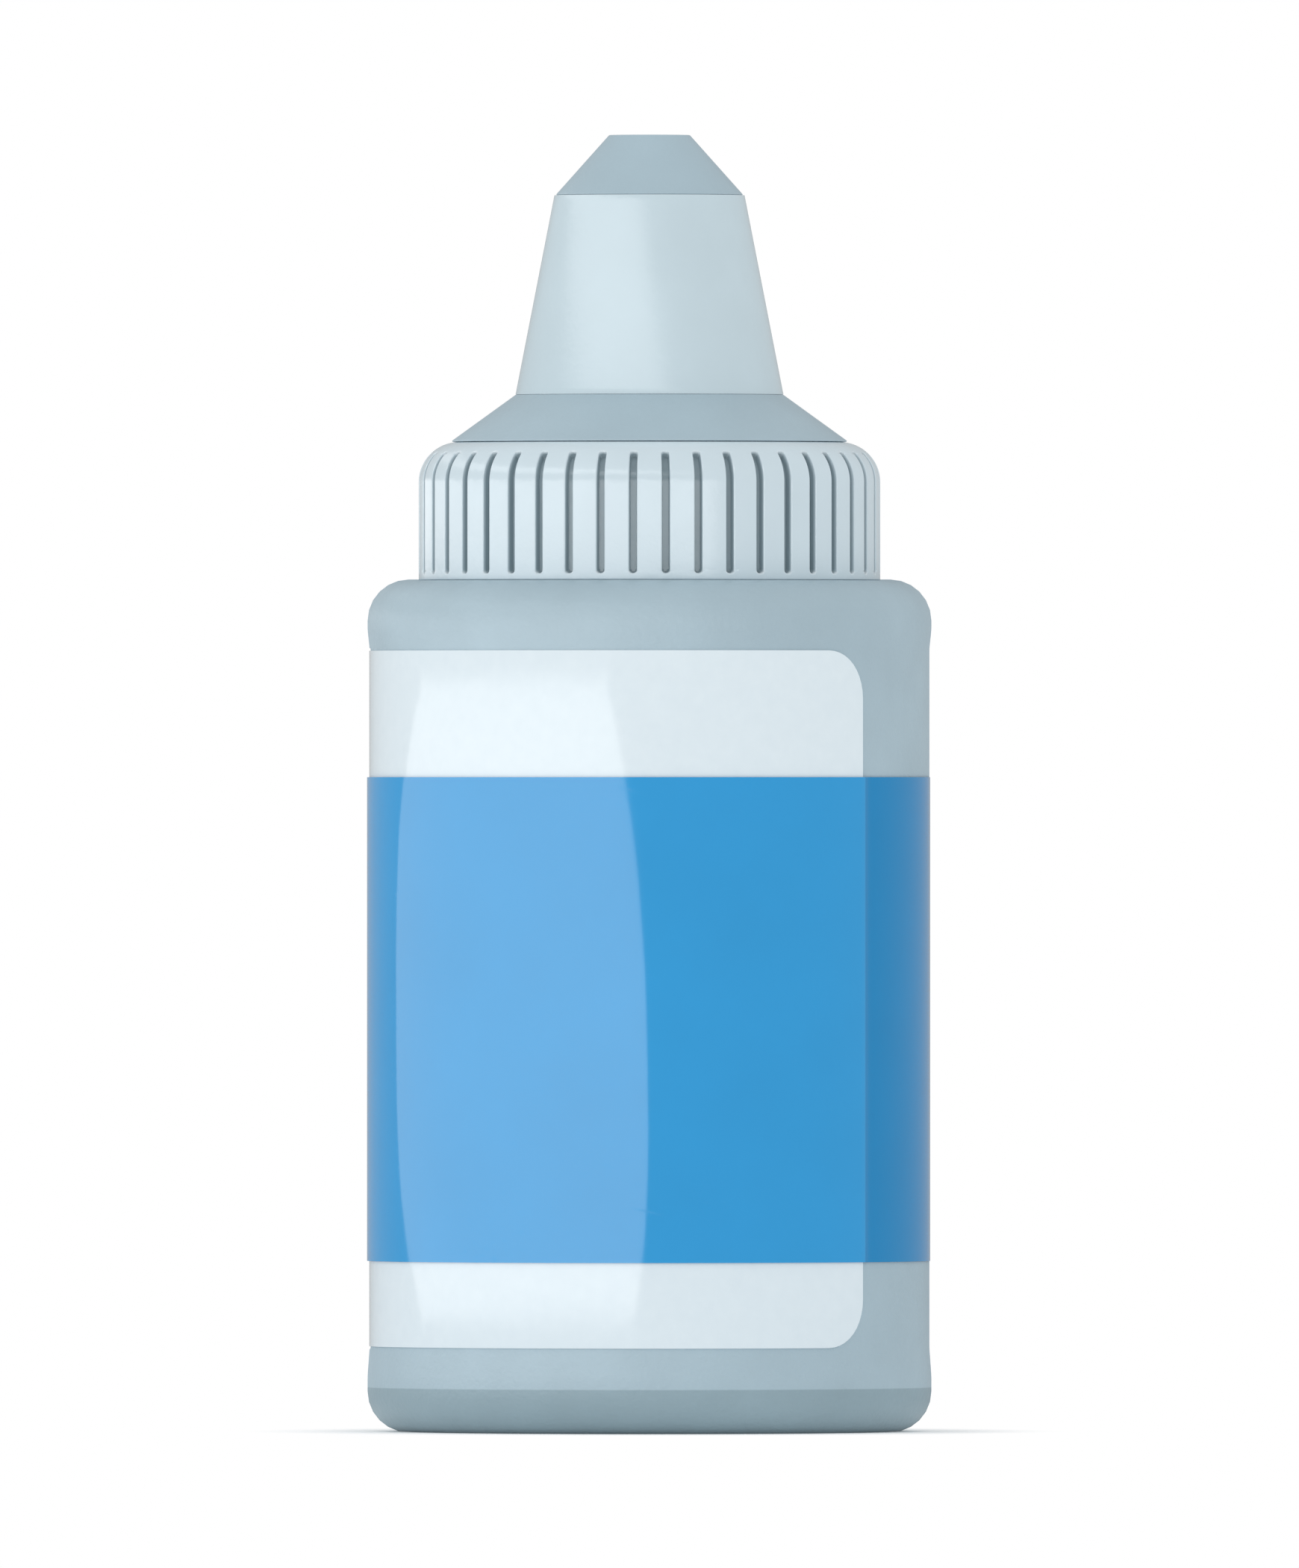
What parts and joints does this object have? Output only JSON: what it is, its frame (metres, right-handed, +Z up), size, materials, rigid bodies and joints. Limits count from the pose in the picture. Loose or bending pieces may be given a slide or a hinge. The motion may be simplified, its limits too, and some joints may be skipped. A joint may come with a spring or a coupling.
{
  "type": "ear drop bottle",
  "caption": "Round squeeze bottle for ear drops with a wrap label, a ribbed screw collar, a dropper nozzle and a pull-off conical nozzle cap with a blunt tip.",
  "frame": {"origin": "centre of the base ring, on the surface that the bottle stands on", "axes": "+Z up along the bottle's axis, towards the nozzle; -Y is the front of the label; the label's end shows on the +X side"},
  "size_m": [0.0282, 0.0282, 0.0646],
  "materials": {
    "bottle_plastic": "satin blow-moulded blue-grey polyethylene, darker at the heel",
    "liquid": "clear watery solution",
    "label": "laminated pale paper label, unprinted",
    "film": "glossy translucent blue film",
    "foam": "closed-cell polyethylene foam",
    "collar_plastic": "satin moulded polypropylene with dark grip slots",
    "nozzle_plastic": "satin moulded blue-grey polyethylene",
    "cap_plastic": "smooth moulded pale polypropylene",
    "tip_plastic": "satin moulded blue-grey polyethylene"
  },
  "bodies": {
    "bottle": {"bottle_body": "bottle_plastic", "ear_drop_liquid": "liquid", "label_panel": "label", "label_band": "film"},
    "nozzle": {"dropper_nozzle": "nozzle_plastic", "sealing_washer": "foam"},
    "collar": {"screw_collar": "collar_plastic"},
    "cap": {"nozzle_cap": "cap_plastic", "tip_stopper": "tip_plastic"}
  },
  "joints": [
    {"name": "nozzle_lift", "type": "slide", "parent": "bottle", "child": "nozzle", "axis": [0, 0, 1], "range_m": [0, 0.00477]},
    {"name": "collar_turn", "type": "hinge", "parent": "nozzle", "child": "collar", "pos_m": [0, 0, 0.0485], "axis": [0, 0, 1], "range_deg": [0, 540]},
    {"name": "cap_pull", "type": "slide", "parent": "nozzle", "child": "cap", "axis": [0, 0, 1], "range_m": [0, 0.016]}
  ],
  "couplings": [
    {"joint": "nozzle_lift", "follows": "collar_turn", "m_per_rad": 0.00050532}
  ]
}
